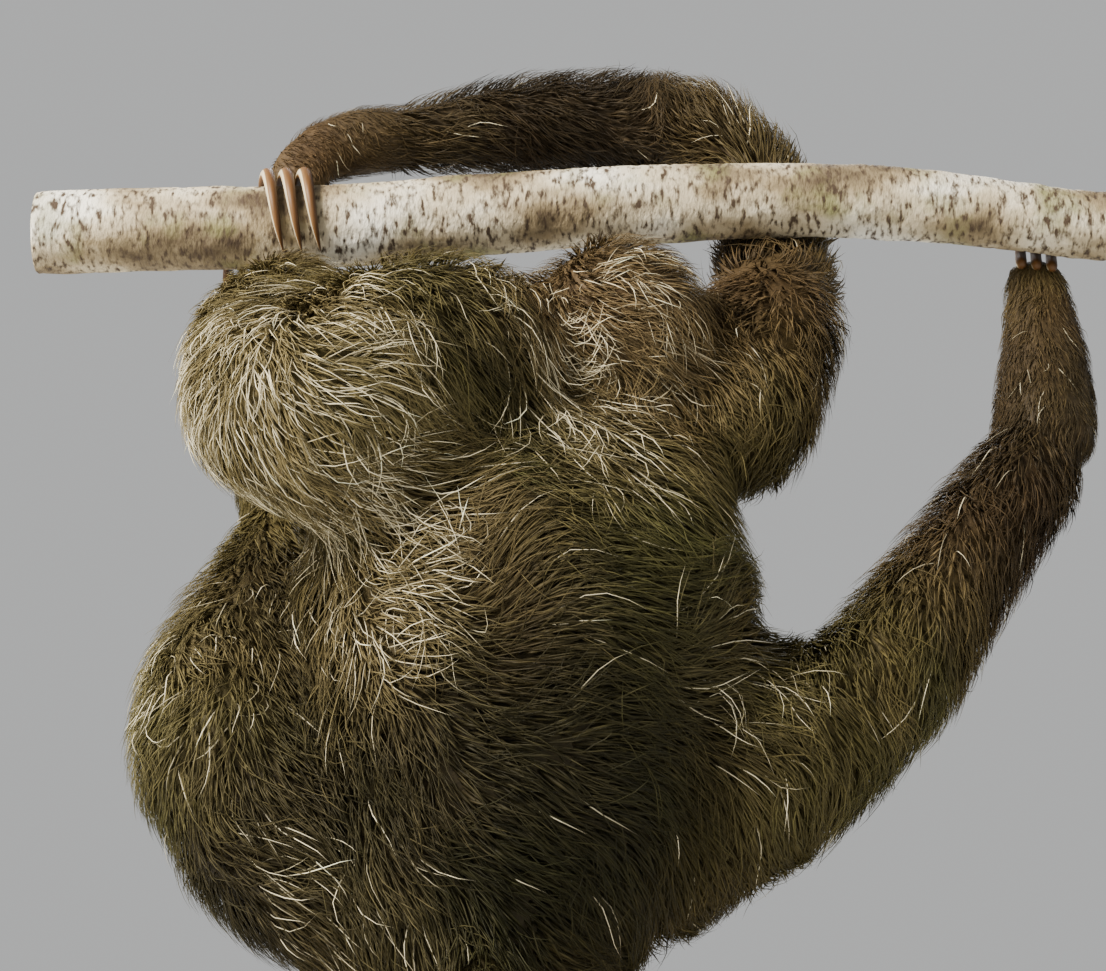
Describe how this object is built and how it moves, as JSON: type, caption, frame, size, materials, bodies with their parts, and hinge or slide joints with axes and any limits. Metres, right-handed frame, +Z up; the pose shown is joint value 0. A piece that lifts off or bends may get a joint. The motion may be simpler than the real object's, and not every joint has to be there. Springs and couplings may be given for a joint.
{
  "type": "three-toed sloth model",
  "caption": "Life-size still model of a brown-throated three-toed sloth hanging under a cut branch by its hooked claws, on a plain display stand.",
  "frame": {"origin": "middle of the underside of the stand's base, on the floor", "axes": "+Z up; the sloth's back faces -Y and its face +Y; +X is the animal's right, along the perch"},
  "size_m": [0.5442, 0.3, 0.615],
  "materials": {
    "coat": "shaggy olive-brown fur with pale straw tips",
    "claw": "amber horn, half gloss",
    "nose": "damp dark skin",
    "eye": "wet dark brown",
    "bark": "rough grey bark with green algae",
    "stand": "dark satin stain",
    "steel": "brushed"
  },
  "bodies": {
    "root": {"trunk": "coat", "head": "coat", "neck": "coat", "tail": "coat", "left_upper_arm": "coat", "left_forearm": "coat", "left_hand": "coat", "left_thigh": "coat", "left_shank": "coat", "left_foot": "coat", "right_upper_arm": "coat", "right_forearm": "coat", "right_hand": "coat", "right_thigh": "coat", "right_shank": "coat", "right_foot": "coat", "left_hand_claw_1": "claw", "left_hand_claw_2": "claw", "left_hand_claw_3": "claw", "right_hand_claw_1": "claw", "right_hand_claw_2": "claw", "right_hand_claw_3": "claw", "left_foot_claw_1": "claw", "left_foot_claw_2": "claw", "left_foot_claw_3": "claw", "right_foot_claw_1": "claw", "right_foot_claw_2": "claw", "right_foot_claw_3": "claw", "nose": "nose", "eye_left": "eye", "eye_right": "eye", "perch": "bark", "stand_base": "stand", "stand_rod_1": "steel", "stand_rod_2": "steel"}
  },
  "joints": []
}
